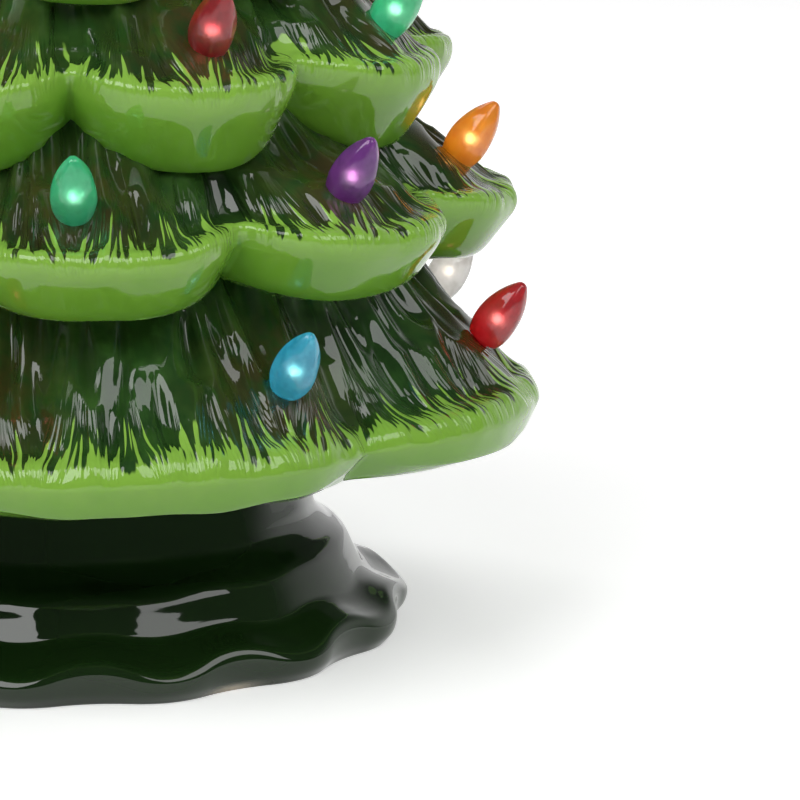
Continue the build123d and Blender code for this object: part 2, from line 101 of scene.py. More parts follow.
# Inside of the casting, (radius, height) from the skirt's edge over the seat on the base and up the hollow, mm
TREE_INSIDE = ((104.0, 55.0), (98.0, 60.0), (56.6, 60.0), (56.6, 65.0), (100.0, 66.0), (97.0, 72.0), (76.0, 112.0),
               (72.0, 146.0), (58.0, 184.0), (44.0, 219.0), (29.0, 252.0), (12.0, 280.0), (0.0, 281.0))
GLAZED_ROWS = 3                            # of these, the others being bare clay
DARK_UP = 60.0                             # height over the fold that gives them the dark glaze, mm

BULB_ALONG = 0.40                          # share of the ridge, from tip to top, where the bulbs sit
BULB_LEAN = 54.0                           # of the bulbs over the horizontal, degrees
BULB_SINK = 1.5                            # of the bulbs into the ridge, mm
GLOW_HEIGHT, GLOW_REACH = 6.8, 3.0         # of the light inside a bulb over its foot, mm
CORE_R, CORE_HALF = 0.9, 1.3               # radius and half length of its bright core, mm
CLEAR_LEVEL = 0.45                         # brightness of the core in the clear bulbs, 1 in the others


# Mesh helpers

def put_mesh(name, points, body, wrap_rows=False, place=None, marks=None, turn_over=False):
    """A mesh from one or more grids of points, shaped (grids, rows, columns, 3) in mm.

    Each cell of a grid is a four-sided face between neighbours in rows and columns; columns close on
    themselves, and rows too where asked. A first or last row whose points all meet becomes one pole point
    with a fan of triangles. place gives (along, up) for each row and for each column plus one, as the piece's
    own map; marks are named numbers for each point.
    """
    points = np.asarray(points, float)
    if points.ndim == 3:
        points = points[None]
    grids, rows, columns = points.shape[:3]
    first = not wrap_rows and np.allclose(points[:, :1], points[:, :1, :1], atol=1e-6)
    last = not wrap_rows and np.allclose(points[:, -1:], points[:, -1:, :1], atol=1e-6)
    number = np.arange(grids * rows * columns).reshape(grids, rows, columns)
    if first:
        number[:, 0] = number[:, 0, :1]
    if last:
        number[:, -1] = number[:, -1, :1]
    row = np.arange(rows if wrap_rows else rows - 1)
    column = np.arange(columns)
    below, beside = (row + 1) % rows, (column + 1) % columns
    corner = [(row, column), (row, beside), (below, beside), (below, column)]
    quads = np.stack([number[:, a][:, :, b] for a, b in corner], axis=-1)
    edge = column + 1
    where = [(row, column), (row, edge), (row + 1, edge), (row + 1, column)]
    spots = None
    if place is not None:
        spots = np.stack([place[a][:, b] for a, b in where], axis=-2)[None].repeat(grids, 0)
    whole = (0, 1, 2, 3)
    loops, sizes, maps = [], [], []
    for band, keep in ((slice(None, 1), (0, 2, 3) if first else whole), (slice(1, -1), whole),
                       (slice(-1, None), (0, 1, 2) if last else whole)):
        chosen = list(keep)[::-1] if turn_over else list(keep)
        loops.append(quads[:, band][..., chosen].reshape(-1))
        sizes.append(np.full(quads[:, band][..., 0].size, len(chosen)))
        if spots is not None:
            maps.append(spots[:, band][..., chosen, :].reshape(-1))
    loops, sizes = np.concatenate(loops), np.concatenate(sizes)
    used, loops = np.unique(loops, return_inverse=True)
    mesh = bpy.data.meshes.new(name)
    mesh.vertices.add(len(used))
    mesh.vertices.foreach_set("co", (points.reshape(-1, 3)[used] * MM).astype(np.float32).ravel())
    mesh.loops.add(len(loops))
    mesh.loops.foreach_set("vertex_index", loops.astype(np.int32))
    mesh.polygons.add(len(sizes))
    mesh.polygons.foreach_set("loop_start", np.concatenate([[0], np.cumsum(sizes)[:-1]]).astype(np.int32))
    mesh.update(calc_edges=True)
    mesh.polygons.foreach_set("use_smooth", np.ones(len(sizes), bool))
    if maps:
        layer = mesh.uv_layers.new(name="slope")
        layer.data.foreach_set("uv", np.concatenate(maps).astype(np.float32))
    for mark, values in (marks or {}).items():
        values = np.broadcast_to(np.asarray(values, float), (grids, rows, columns)).reshape(-1)[used]
        mesh.attributes.new(mark, "FLOAT", "POINT").data.foreach_set("value", values.astype(np.float32))
    mesh.validate()
    piece = bpy.data.objects.new(name, mesh)
    bpy.context.scene.collection.objects.link(piece)
    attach(piece, body)
    return piece


def chance(column, row, seed):
    """A fixed number from 0 to 1 for each cell of a lattice, its whole numbers mixed by products and shifts."""
    n = (column.astype(np.int64) * 73856093) ^ (row.astype(np.int64) * 19349663) ^ (seed * 83492791)
    n = ((n ^ (n >> 13)) * 1274126177) & 0x7FFFFFFF
    return ((n ^ (n >> 16)) & 0xFFFF) / 65535.0


def soft_noise(x, y, seed, around):
    """Smooth noise from 0 to 1: chance at lattice corners, eased between them; x repeats after around cells."""
    left, low = np.floor(x), np.floor(y)
    across, up = x - left, y - low
    across, up = across * across * (3 - 2 * across), up * up * (3 - 2 * up)
    near, far = left % around, (left + 1) % around
    bottom = chance(near, low, seed) * (1 - across) + chance(far, low, seed) * across
    top = chance(near, low + 1, seed) * (1 - across) + chance(far, low + 1, seed) * across
    return bottom * (1 - up) + top * up


def carved_strokes(x, y, seed, around, share):
    """Depth from 0 to 1 of long drops carved one to a lattice cell, deepest along each drop's leaning middle.

    A drop's depth falls off as a bell across it and as a rounded hump along it; its place, width, length and
    lean, in shares of a cell, are fixed by chance, and a share of the cells have one.
    """
    depth = np.zeros_like(x)
    for step_x in (-1, 0, 1):
        for step_y in (-1, 0, 1):
            column, row = np.floor(x) + step_x, np.floor(y) + step_y
            cell = column % around
            middle_x = column + 0.2 + 0.6 * chance(cell, row, seed)
            middle_y = row + 0.2 + 0.6 * chance(cell, row, seed + 1)
            width = 0.16 + 0.22 * chance(cell, row, seed + 2)
            length = 0.40 + 0.45 * chance(cell, row, seed + 3)
            lean = 0.7 * (chance(cell, row, seed + 4) - 0.5)
            down = (y - middle_y) / length
            across = (x - middle_x - lean * (y - middle_y)) / (width * (1.25 - 0.5 * np.clip(down, -1, 1)))
            hump = np.clip(1 - down * down, 0, 1) ** 0.7
            there = chance(cell, row, seed + 5) < share
            depth = np.maximum(depth, there * hump * np.exp(-across * across))
    return depth


def ease(low, high, value):
    """0 below low, 1 above high and an S-shaped rise between."""
    share = np.clip((value - low) / (high - low), 0, 1)
    return share * share * (3 - 2 * share)


def bend(points, shares):
    """Points on the straight line or rounded curve that two or three control points carry."""
    points = np.asarray(points, float)
    t = np.asarray(shares, float)[:, None]
    if len(points) == 2:
        return points[0] * (1 - t) + points[1] * t
    return points[0] * (1 - t) ** 2 + points[1] * 2 * t * (1 - t) + points[2] * t * t


def slope(rows, bands):
    """(radius, height) down a slope: each band takes some control rows and a set of shares along it."""
    return np.concatenate([bend([rows[i] for i in band], shares) for band, shares in bands])


def waves(edge, middle, turns, half_turn, per_wave):
    """Points of waves round the axis: every wave is a rounded curve from edge over middle to edge.

    edge and middle are (radius, height) rows, middle may differ from wave to wave; turns are the waves'
    middles in degrees. The three control points of a row stand at turn - half, turn and turn + half.
    """
    s = np.tile(np.arange(per_wave) / per_wave, len(turns))
    wave = np.repeat(np.arange(len(turns)), per_wave)
    turn = np.radians(np.asarray(turns, float))[wave]
    half = np.radians(half_turn)
    weights = ((1 - s) ** 2, 2 * s * (1 - s), s * s)
    total = np.zeros((len(edge), len(s), 3))
    for weight, angle, rows in zip(weights, (turn - half, turn, turn + half), (edge, middle, edge)):
        rows = np.asarray(rows)
        radius = rows[..., 0] if rows.ndim == 2 else rows[wave, :, 0].T
        height = rows[..., 1] if rows.ndim == 2 else rows[wave, :, 1].T
        if rows.ndim == 2:
            radius, height = radius[:, None], height[:, None]
        total += weight[None, :, None] * np.stack(
            [radius * np.sin(angle), -radius * np.cos(angle), height + 0 * angle], axis=-1)
    return total


def lobed(edge, peak, turns, half_turn, s, power):
    """Full lobes round the axis: at share s across a lobe the radius and height stand 1 - |2s - 1|^power of the
    way from the crease to the crest, and the turn runs evenly from crease to crease."""
    share = (1 - np.abs(2 * s - 1) ** power)[None, :, None]
    rows = edge[:, None] + (peak - edge)[:, None] * share
    turn = np.repeat(turns, len(s) // len(turns)) + (2 * s - 1) * half_turn
    return around_axis(rows[..., 0], turn[None], rows[..., 1])


def outward(points):
    """Unit normals of a grid that closes round the axis, from the differences between neighbours."""
    down = np.gradient(points, axis=0)
    across = (np.roll(points, -1, axis=1) - np.roll(points, 1, axis=1)) / 2
    normal = np.cross(down, across)
    return normal / np.maximum(np.linalg.norm(normal, axis=-1, keepdims=True), 1e-9)


def around_axis(radius, turn, height):
    """The point at a radius and a turn, in degrees from the front towards the right."""
    turn = np.radians(turn)
    return np.stack(np.broadcast_arrays(radius * np.sin(turn), -radius * np.cos(turn), height), axis=-1)


# Bulbs' places

def ends(tier):
    """(radius, height) of the top, tip and low edge down a lobe's crest and down the crease beside it."""
    crest = np.array([(tier.top_r, tier.top_z), (tier.tip_r, tier.tip_z), (tier.low_r, tier.low_z)])
    crease = np.array([(CREASE_TOP, 0.0), (tier.crease, -tier.scallop), (tier.low_crease, 0.0)])
    return crest + (0, SEAT), crest - crease + (0, SEAT)


def wave_middle(edge, crest, half_turn):
    """The middle control points that carry a rounded wave from its edges over its crest."""
    radius = 2 * crest[:, 0] - edge[:, 0] * np.cos(np.radians(half_turn))
    return np.stack([radius, 2 * crest[:, 1] - edge[:, 1]], axis=1)


def ridge_spot(tier, turn):
    """Where a bulb sits: up the ridge by the bulbs' share, across the lobe by the bulb's turn."""
    start, half = tier.turn, 180.0 / tier.lobes
    lobe = round((turn - start) / (2 * half))
    s = 0.5 + (turn - start) / (2 * half) - lobe
    crest, valley = [rows[1:2] + (rows[:1] - rows[1:2]) * BULB_ALONG for rows in ends(tier)]
    middle = wave_middle(valley, crest, half)
    centre = start + 2 * half * lobe
    return ((1 - s) ** 2 * around_axis(valley[0, 0], centre - half, valley[0, 1])
            + 2 * s * (1 - s) * around_axis(middle[0, 0], centre, middle[0, 1])
            + s * s * around_axis(valley[0, 0], centre + half, valley[0, 1]))


def bulb_spots():
    """For each colour the bulbs' feet, the directions across, forward and along each bulb, and the spots on the
    ridge where they sit."""
    spots = {}
    lean = np.radians(BULB_LEAN)
    for tier in TIERS:
        for turn, colour in zip(tier.bulb_turns, tier.colours.split()):
            along = around_axis(np.cos(lean), turn, np.sin(lean))
            across = around_axis(1.0, turn + 90.0, 0.0)
            on_ridge = ridge_spot(tier, turn)
            spots.setdefault(colour, []).append(
                (on_ridge - along * BULB_SINK, across, np.cross(along, across), along, on_ridge))
    return {colour: [np.array(part) for part in zip(*rows)] for colour, rows in spots.items()}


BULBS = bulb_spots()
RIDGE_SPOTS = np.concatenate([on_ridge for *_, on_ridge in BULBS.values()])


def near_bulbs(points, reach):
    """1 at a bulb's seat, falling off as a bell with the distance from the nearest one."""
    gap = np.full(points.shape[:2], np.inf)
    for spot in RIDGE_SPOTS:
        gap = np.minimum(gap, ((points - spot) ** 2).sum(-1))
    return np.exp(-gap / reach ** 2)


# Tree

def control_rows(index, rows, in_crease):
    """Control rows down a tier's crest or crease: the top, the fold, the pale face's edge and the underside's end, and
    between them the rows where the rounded fold and the rounded edge begin and end."""
    top, tip, low = rows
    share = CREASE_SHARE if in_crease else 1.0
    lowered = max(0.0, TIERS[index].scallop - FULL_SCALLOP) if in_crease else 0.0
    fold = tip + (-FOLD_IN, FOLD_LIFT[index] * share - lowered)
    edge = tip - (FACE_LEAN[index], FACE_DROP[index] * share)
    under = low
    if index:
        if in_crease:
            edge[1] = min(edge[1], TIERS[index - 1].top_z + SEAT - TUCK)
        under = np.array([min(low[0], edge[0]) - UNDER_IN, edge[1] - UNDER_DOWN])
    return [top, fold + (top - fold) * FOLD_FROM, fold, fold + (edge - fold) * FOLD_TO,
            edge + (fold - edge) * EDGE_FROM, edge, edge + (under - edge) * EDGE_TO, under]


def relief_cells(kind, along, up, circle, index):
    """Places on the lattice of one kind of relief, with its seed and its number of cells round a tier."""
    cells = round(circle / kind.width)
    return along / circle * cells, up / kind.length, kind.seed + index, cells


def tier_relief(index, spots, ridge, flank, halo, seat):
    """Depth of a tier's relief in mm, and where its drops are carved from 0 to 1.

    On the ridge lie wide folds from stretched noise and carved drops, on the pale face soft dents, across the fold
    short flutes. Each bulb sits in a dip, and between the bulbs the flanks are hollowed: with share as the share of
    the ridge from fold to top, by (1 - share) of a depth that grows from crest to crease.
    """
    up = spots[1]
    folds = soft_noise(*relief_cells(FOLDS, *spots, index))
    facets = carved_strokes(*relief_cells(FACETS, *spots, index), FACET_SHARE)
    grooves = carved_strokes(*relief_cells(GROOVES, *spots, index), GROOVE_SHARE)
    dents = soft_noise(*relief_cells(DENTS, *spots, index))
    flutes = soft_noise(*relief_cells(FLUTES, *spots, index))
    on_ridge = ease(RIDGE_FROM, RIDGE_FULL, up)
    depth = on_ridge * (1 - SEAT_CALM * seat) * (
        FOLDS.depth * folds + FACETS.depth * facets + GROOVES.depth * grooves)
    depth += (1 - on_ridge) * DENTS.depth * dents
    depth += FLUTES.depth * np.exp(-((up - FLUTE_AT) / FLUTE_REACH) ** 2) * flutes
    depth += SEAT_DIP * seat
    share = np.clip(up / ridge, 0, 1)
    hollowed = (1 - share) * ease(0.0, HOLLOW_FROM, share) * (HOLLOW_CREST + HOLLOW_FLANK * flank)
    depth += hollowed * (1 - halo)
    size = 0.65 + 0.35 * TIERS[index].tip_r / TIERS[0].tip_r
    return size * depth, np.maximum(facets, grooves)


def tier_piece(index):
    """One glazed tier: lobes that bulge between creases, carved with long drops and soft folds.

    Down a lobe the crest and the crease are a straight ridge, a rounded fold, a leaning pale face, a rounded edge and
    an underside; across it a full curve runs from crease over crest to crease. The relief is cut in along the normal.
    The lowest tier goes on round its edge to the inside of the casting.
    """
    lobes, turn, tip_r = TIERS[index][:3]
    fine = 1.0 if index < SHOWN_TIERS else PLAINER
    counts = [int(count * fine) for count in BAND_ROWS]
    bands = [(rows, np.linspace(0, 1, count, endpoint=rows == BANDS[-1])) for rows, count in zip(BANDS, counts)]
    peak, edge = [slope(control_rows(index, rows, in_crease), bands)
                  for rows, in_crease in zip(ends(TIERS[index]), (False, True))]
    half = 180.0 / lobes
    per_lobe = int((LOBE_COLUMNS if index else SKIRT_COLUMNS) * fine)
    s = np.tile(np.arange(per_lobe) / per_lobe, lobes)
    inset = np.array([0.0 if index else SKIRT_INSET, 0.0])
    points = lobed(edge - inset, peak - inset, turn + 2 * half * np.arange(lobes), half, s, LOBE_POWER)
    steps = np.linalg.norm(np.diff(peak, axis=0), axis=1)
    run = np.concatenate([[0], np.cumsum(steps)])
    ridge = run[counts[0] + counts[1] // 2]
    up = (ridge - run)[:, None] + 0 * s[None]
    lobe_width = 2 * np.pi * tip_r / lobes
    along = (np.repeat(np.arange(lobes), per_lobe) + s)[None] * lobe_width + 0 * up
    circle = lobes * lobe_width
    halo, seat = near_bulbs(points, HALO_REACH), near_bulbs(points, SEAT_REACH)
    depth, carved = tier_relief(index, (along, up, circle), ridge, np.abs(2 * s - 1)[None], halo, seat)
    points = points - outward(points) * depth[..., None]
    bare = np.zeros(points.shape[:2])
    if index == 0:
        rim = np.degrees(np.arctan2(points[-1, :, 0], -points[-1, :, 1]))
        points = np.concatenate([points, [around_axis(radius, rim, height) for radius, height in TREE_INSIDE]])
        extra = np.zeros((len(TREE_INSIDE), points.shape[1]))
        bare = np.concatenate([bare, extra + (np.arange(len(TREE_INSIDE)) >= GLAZED_ROWS)[:, None]])
        halo, carved = [np.concatenate([part, extra]) for part in (halo, carved)]
        up = np.concatenate([up, extra + DARK_UP])
        along = np.concatenate([along, along[-1:] + extra])
    wide = np.concatenate([along, along[:, :1] + circle], axis=1)
    tall = np.concatenate([up, up[:, :1]], axis=1)
    place = np.stack([wide, tall], axis=-1) / 10.0
    return put_mesh(f"tree_tier_{index + 1}", points, "tree", place=place,
                    marks={"halo": halo, "carved": carved, "bare": bare}, turn_over=True)


# Bulbs

def teardrop_profile():
    """(radius, height) up a bulb: peg, flat foot, bowl arc, long side arc and a small tip arc that run on."""
    radius, waist, foot, tip, length = 5.7, 5.6, 4.4, 1.9, 18.5
    peg_r, peg_length, foot_round = 2.4, 7.0, 0.3
    bowl_r = ((radius - foot) ** 2 + waist ** 2) / (2 * (radius - foot))
    low = np.arcsin(-waist / bowl_r)
    turn = np.linspace(low, 0, 9)[:-1]
    bowl = np.stack([radius - bowl_r + bowl_r * np.cos(turn), waist + bowl_r * np.sin(turn)], axis=1)
    rise = length - tip - waist
    side_r = (radius ** 2 + rise ** 2 - tip ** 2) / (2 * (radius - tip))
    top = np.arcsin(rise / (side_r - tip))
    turn = np.linspace(0, top, 15)[:-1]
    side = np.stack([radius - side_r + side_r * np.cos(turn), waist + side_r * np.sin(turn)], axis=1)
    turn = np.linspace(top, np.pi / 2, 8)
    cap = np.stack([tip * np.cos(turn), length - tip + tip * np.sin(turn)], axis=1)
    cap[-1, 0] = 0
    peg = np.array([(0, -peg_length), (peg_r, -peg_length), (peg_r, 0), (foot - foot_round, 0)])
    return np.concatenate([peg, bowl, side, cap])


def on_bulbs(spots, profile, columns, flutes, swirl, depth):
    """A turned profile set on every seat, its outside cut into soft flutes that swirl up the bulb.

    The cut sets in over the bulb's foot and fades out where the bulb is thin.
    """
    foot, full, thin = 0.5, 4.0, 4.0
    seat, across, forward, along, _ = spots
    angle = np.arange(columns) / columns * 2 * np.pi
    radius, height = profile[:, :1], profile[:, 1:]
    cut = depth * ease(foot, full, height) * (0.5 - 0.5 * np.cos(flutes * angle + swirl * height))
    radius = np.maximum(radius - cut * np.minimum(radius / thin, 1), 0)
    local = np.stack(np.broadcast_arrays(radius * np.cos(angle), radius * np.sin(angle), height), axis=-1)
    axes = np.stack([across, forward, along], axis=1)
    return seat[:, None, None, :] + np.einsum("rck,bkx->brcx", local, axes)


def bulb_piece(colour):
    """All bulbs of one colour as teardrops with faint swirling flutes."""
    profile = teardrop_profile()
    points = on_bulbs(BULBS[colour], profile, columns=36, flutes=7, swirl=0.22, depth=0.22)
    # Painted glow: a bell round each bulb at the height of the light inside, where its plastic is painted paler
    lit = np.exp(-((profile[:, 1] - GLOW_HEIGHT) / GLOW_REACH) ** 2)[None, :, None]
    piece = put_mesh(f"{colour}_bulbs", points, "tree", marks={"lit": lit})
    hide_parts(f"bulbs_{colour}")
    return piece


def core_piece():
    """The bright end of the light path inside every bulb: a small turned drop above each peg."""
    turn = np.linspace(-np.pi / 2, np.pi / 2, 9)
    profile = np.stack([CORE_R * np.cos(turn), GLOW_HEIGHT + CORE_HALF * np.sin(turn)], axis=1)
    profile[[0, -1], 0] = 0
    spots = [np.concatenate(parts) for parts in zip(*BULBS.values())]
    points = on_bulbs(spots, profile, columns=14, flutes=3, swirl=0.0, depth=0.1)
    level = np.concatenate([np.full(len(rows[0]), CLEAR_LEVEL if colour == "clear" else 1.0)
                            for colour, rows in BULBS.items()])
    return put_mesh("bulb_cores", points, "tree", marks={"level": level[:, None, None]})


# Base

def smooth_path(points, per_step):
    """Points on a rounded curve through the given ones: between two of them a cubic whose slope at each end is half
    the step from the point before to the point after."""
    points = np.asarray(points, float)
    padded = np.concatenate([2 * points[:1] - points[1:2], points, 2 * points[-1:] - points[-2:-1]])
    t = (np.arange(per_step) / per_step)[None, :, None]
    a, b, c, d = [padded[i:len(points) - 1 + i][:, None] for i in range(4)]
    curve = b + 0.5 * t * (c - a + t * (2 * a - 5 * b + 4 * c - d + t * (3 * (b - c) + d - a)))
    return np.concatenate([curve.reshape(-1, points.shape[1]), points[-1:]])


def base_piece():
    """The fluted base: a neck that flares over a soft roll to a waved lip, closed over its hollow.

    Down the outside a rounded curve runs through rings of (radius, height, swing, drop); round the axis half-flutes
    swing out and drop, then swing in and rise from it. Inside, turned rows close the foot, recess, hollow, lamp hole
    and collar.
    """
    rings = [(58.6, 60.0, 0.0, 0.0), (60.6, 50.0, 0.0, 0.0), (62.7, 40.0, 0.0, 0.0), (63.9, 35.0, 0.1, 0.0),
             (65.0, 31.0, 0.1, 0.1), (68.2, 27.4, 0.2, 0.2), (71.4, 25.2, 0.2, 0.3), (73.2, 23.3, 0.3, 0.4),
             (75.0, 19.6, 0.3, 0.5), (76.4, 16.6, 0.4, 0.6), (77.6, 14.6, 0.5, 0.8), (80.0, 12.9, 0.8, 1.0),
             (83.6, 11.3, 1.1, 1.3), (86.6, 10.0, 1.4, 1.5), (88.2, 8.4, 1.5, 1.4), (88.8, 6.5, 1.6, 1.0),
             (88.0, 3.0, 1.7, 0.3), (85.8, 0.0, 1.7, 0.0)]
    flutes, turn, per_wave, per_ring = 14, 15.0, 14, 6
    chip_turn, chip_reach, chip_low, chip_high = 27.0, 4.0, 0.6, 2.6
    quarter = 90.0 / flutes
    outline = smooth_path(rings, per_ring)
    level, swing, drop = outline[:, :2], outline[:, 2], outline[:, 3]
    sign = np.where(np.arange(2 * flutes) % 2, -1.0, 1.0)[:, None]
    middle_r = 2 * (level[None, :, 0] + sign * swing) - level[None, :, 0] * np.cos(np.radians(quarter))
    middle = np.stack([middle_r, level[None, :, 1] - 2 * sign * drop], axis=-1)
    points = waves(level, middle, turn + 2 * quarter * np.arange(2 * flutes), quarter, per_wave)
    angle = np.degrees(np.arctan2(points[:, :, 0], -points[:, :, 1]))
    chips = np.exp(-((angle - chip_turn) / chip_reach) ** 2)
    chips = chips * (1 - ease(chip_low, chip_high, points[..., 2]))
    below = [(74.0, 0.0), (74.0, 7.5), (67.5, 7.5), (67.5, 14.0), (57.0, 32.0), (56.5, 54.0), (18.2, 54.0),
             (18.2, 60.0), (50.0, 60.0), (50.0, 65.0), (56.0, 65.0), (56.0, 60.0)]
    collar_rows = 4
    rows = np.stack([around_axis(radius, angle[-1], height) for radius, height in below])
    hidden = (np.arange(len(below)) < len(below) - collar_rows)[:, None] + 0 * rows[..., 0]
    points = np.concatenate([points, rows])
    piece = put_mesh("base_glazed", points, "base", wrap_rows=True, marks={"bare": np.concatenate([chips, hidden])},
                     turn_over=True)
    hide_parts("base_shell")
    return piece


# Shader helpers

def tone(red, green, blue):
    """A colour as it shows on a screen, 0 to 255, turned into the light it stands for."""
    value = np.array([red, green, blue]) / 255.0
    light = np.where(value <= 0.04045, value / 12.92, ((value + 0.055) / 1.055) ** 2.4)
    return (*[float(part) for part in light], 1.0)


def add(tree, kind, inputs=None, **settings):
    """A node with its settings; each input is a number, a colour or another node's output."""
    made = tree.nodes.new(kind)
    for key, value in settings.items():
        setattr(made, key, value)
    for key, value in (inputs or {}).items():
        socket = made.inputs[key]
        if isinstance(value, bpy.types.NodeSocket):
            tree.links.new(value, socket)
        else:
            socket.default_value = value
    return made


def calc(tree, operation, *values):
    """The output of a Math node."""
    return add(tree, "ShaderNodeMath", dict(enumerate(values)), operation=operation).outputs[0]


def mix(tree, share, first, second):
    """The colour a share of the way from first to second."""
    made = add(tree, "ShaderNodeMix", {0: share, 6: first, 7: second}, data_type="RGBA")
    return made.outputs[2]


def rise(tree, value, low, high):
    """A mask that eases from 0 at low to 1 at high."""
    made = add(tree, "ShaderNodeMapRange", {0: value, 1: low, 2: high, 3: 0.0, 4: 1.0},
               interpolation_type="SMOOTHSTEP")
    return made.outputs[0]


def noise(tree, vector, scale, detail=2.0, stretch=None):
    """Soft noise, on coordinates that may be stretched first."""
    if stretch is not None:
        vector = add(tree, "ShaderNodeMapping", {"Vector": vector, "Scale": stretch}).outputs[0]
    return add(tree, "ShaderNodeTexNoise", {"Vector": vector, "Scale": scale, "Detail": detail}).outputs[0]


def wander(tree, value, amount, base):
    """The base plus an amount times how far a noise is from its middle."""
    return calc(tree, "MULTIPLY_ADD", calc(tree, "SUBTRACT", value, 0.5), amount, base)


def new_group(name, inputs, outputs):
    """A shader node group with named number inputs and outputs."""
    group = bpy.data.node_groups.new(name, "ShaderNodeTree")
    for label, kind, value in inputs:
        socket = group.interface.new_socket(name=label, in_out="INPUT", socket_type=kind)
        if value is not None:
            socket.default_value = value
    for label, kind in outputs:
        group.interface.new_socket(name=label, in_out="OUTPUT", socket_type=kind)
    return group, group.nodes.new("NodeGroupInput"), group.nodes.new("NodeGroupOutput")


def glaze_ripple_group():
    """Glaze that ran before it set: slow ripples and fine pits as height, and gloss that varies with them."""
    group, given, result = new_group(
        "glaze_ripple", [("Ripple", "NodeSocketFloat", 1.0), ("Gloss", "NodeSocketFloat", 0.07)],
        [("Height", "NodeSocketFloat"), ("Roughness", "NodeSocketFloat")])
    spot = add(group, "ShaderNodeTexCoord").outputs["Object"]
    slow = noise(group, spot, 60.0, 0.0)
    fine = noise(group, spot, 420.0, 1.0)
    height = calc(group, "MULTIPLY", calc(group, "MULTIPLY_ADD", fine, 0.015, slow), given.outputs["Ripple"])
    group.links.new(height, result.inputs["Height"])
    patch = rise(group, noise(group, spot, 38.0, 3.0), 0.35, 0.75)
    group.links.new(calc(group, "MULTIPLY_ADD", patch, 0.03, given.outputs["Gloss"]), result.inputs["Roughness"])
    return group


def moulded_grain_group():
    """Moulded plastic: a faint grain as height and a roughness that wanders round its mean."""
    group, given, result = new_group(
        "moulded_grain", [("Grain", "NodeSocketFloat", 900.0), ("Roughness", "NodeSocketFloat", 0.4)],
        [("Height", "NodeSocketFloat"), ("Roughness", "NodeSocketFloat"), ("Tint", "NodeSocketFloat")])
    spot = add(group, "ShaderNodeTexCoord").outputs["Object"]
    grain = add(group, "ShaderNodeTexNoise", {"Vector": spot, "Scale": given.outputs["Grain"], "Detail": 3.0})
    group.links.new(grain.outputs[0], result.inputs["Height"])
    drift = noise(group, spot, 60.0, 3.0)
    group.links.new(wander(group, drift, 0.25, given.outputs["Roughness"]), result.inputs["Roughness"])
    group.links.new(drift, result.inputs["Tint"])
    return group


GLAZE_RIPPLE = glaze_ripple_group()
MOULDED_GRAIN = moulded_grain_group()


def new_material(name):
    """A material with one Principled shader on its output."""
    material = bpy.data.materials.new(name)
    material.use_nodes = True
    tree = material.node_tree
    tree.nodes.clear()
    shader = tree.nodes.new("ShaderNodeBsdfPrincipled")
    output = tree.nodes.new("ShaderNodeOutputMaterial")
    tree.links.new(shader.outputs[0], output.inputs[0])
    return material, tree, shader


def attribute(tree, name):
    """A number that the mesh carries at each point."""
    return add(tree, "ShaderNodeAttribute", attribute_name=name).outputs["Fac"]


def bump(tree, shader, height, strength, distance):
    """Height that turns the shading normal."""
    made = add(tree, "ShaderNodeBump", {"Strength": strength, "Distance": distance, "Height": height})
    tree.links.new(made.outputs[0], shader.inputs["Normal"])


# Materials

def glazed(tree, shader, bare, gloss):
    """The roughness of rippled glaze, duller where the clay is bare; gives the ripples' height."""
    ripple = add(tree, "ShaderNodeGroup", node_tree=GLAZE_RIPPLE)
    ripple.inputs["Gloss"].default_value = gloss
    rough = calc(tree, "MULTIPLY_ADD", bare, 0.6, ripple.outputs["Roughness"])
    tree.links.new(rough, shader.inputs["Roughness"])
    return ripple.outputs["Height"]


def leaf_blades(tree, place, along, up):
    """Blades of pale glaze that run up into the dark: where it is pale, the blades' noise and its coordinates.

    Blades are noise stretched up the slope and leaned by slower noise. Tufts make them longer here and there; finer
    hairs and wider clumps shift their ends. A point is pale where this reach lies above it.
    """
    lean = calc(tree, "SUBTRACT", noise(tree, place, 0.55, 1.0, (1.0, 0.05, 1.0)), 0.5)
    leaned = calc(tree, "MULTIPLY_ADD", calc(tree, "MULTIPLY", lean, 2.2), up, along)
    spot = add(tree, "ShaderNodeCombineXYZ", {0: leaned, 1: calc(tree, "MULTIPLY", up, 0.10)}).outputs[0]
    blades = noise(tree, spot, 6.0, 1.0)
    tall = calc(tree, "SUBTRACT", calc(tree, "POWER", rise(tree, blades, 0.25, 0.75), 1.8), 0.35)
    tufts = calc(tree, "MULTIPLY_ADD", noise(tree, place, 0.45, 1.0, (1.0, 0.2, 1.0)), 2.2, 0.4)
    hairs = noise(tree, spot, 14.0, 0.0)
    clumps = noise(tree, place, 1.1, 1.0, (1.0, 0.3, 1.0))
    reach = wander(tree, clumps, 1.1, wander(tree, hairs, 0.4, calc(tree, "MULTIPLY", tall, tufts)))
    return rise(tree, calc(tree, "SUBTRACT", reach, up), -0.05, 0.10), blades, spot


def pale_shade(tree, place, up):
    """Light green of the tiers' faces, deeper towards the lower edge in a band that wanders."""
    band = wander(tree, noise(tree, place, 0.9, 3.0), 0.9, up)
    ramp = add(tree, "ShaderNodeValToRGB", {0: rise(tree, band, -3.2, 0.6)})
    stops = ramp.color_ramp.elements
    stops[0].position, stops[0].color = 0.0, tone(102, 154, 46)
    stops[1].position, stops[1].color = 1.0, tone(138, 184, 74)
    for position, shade in ((0.40, tone(118, 170, 54)), (0.62, tone(130, 178, 64))):
        stops.new(position).color = shade
    return ramp.outputs[0]


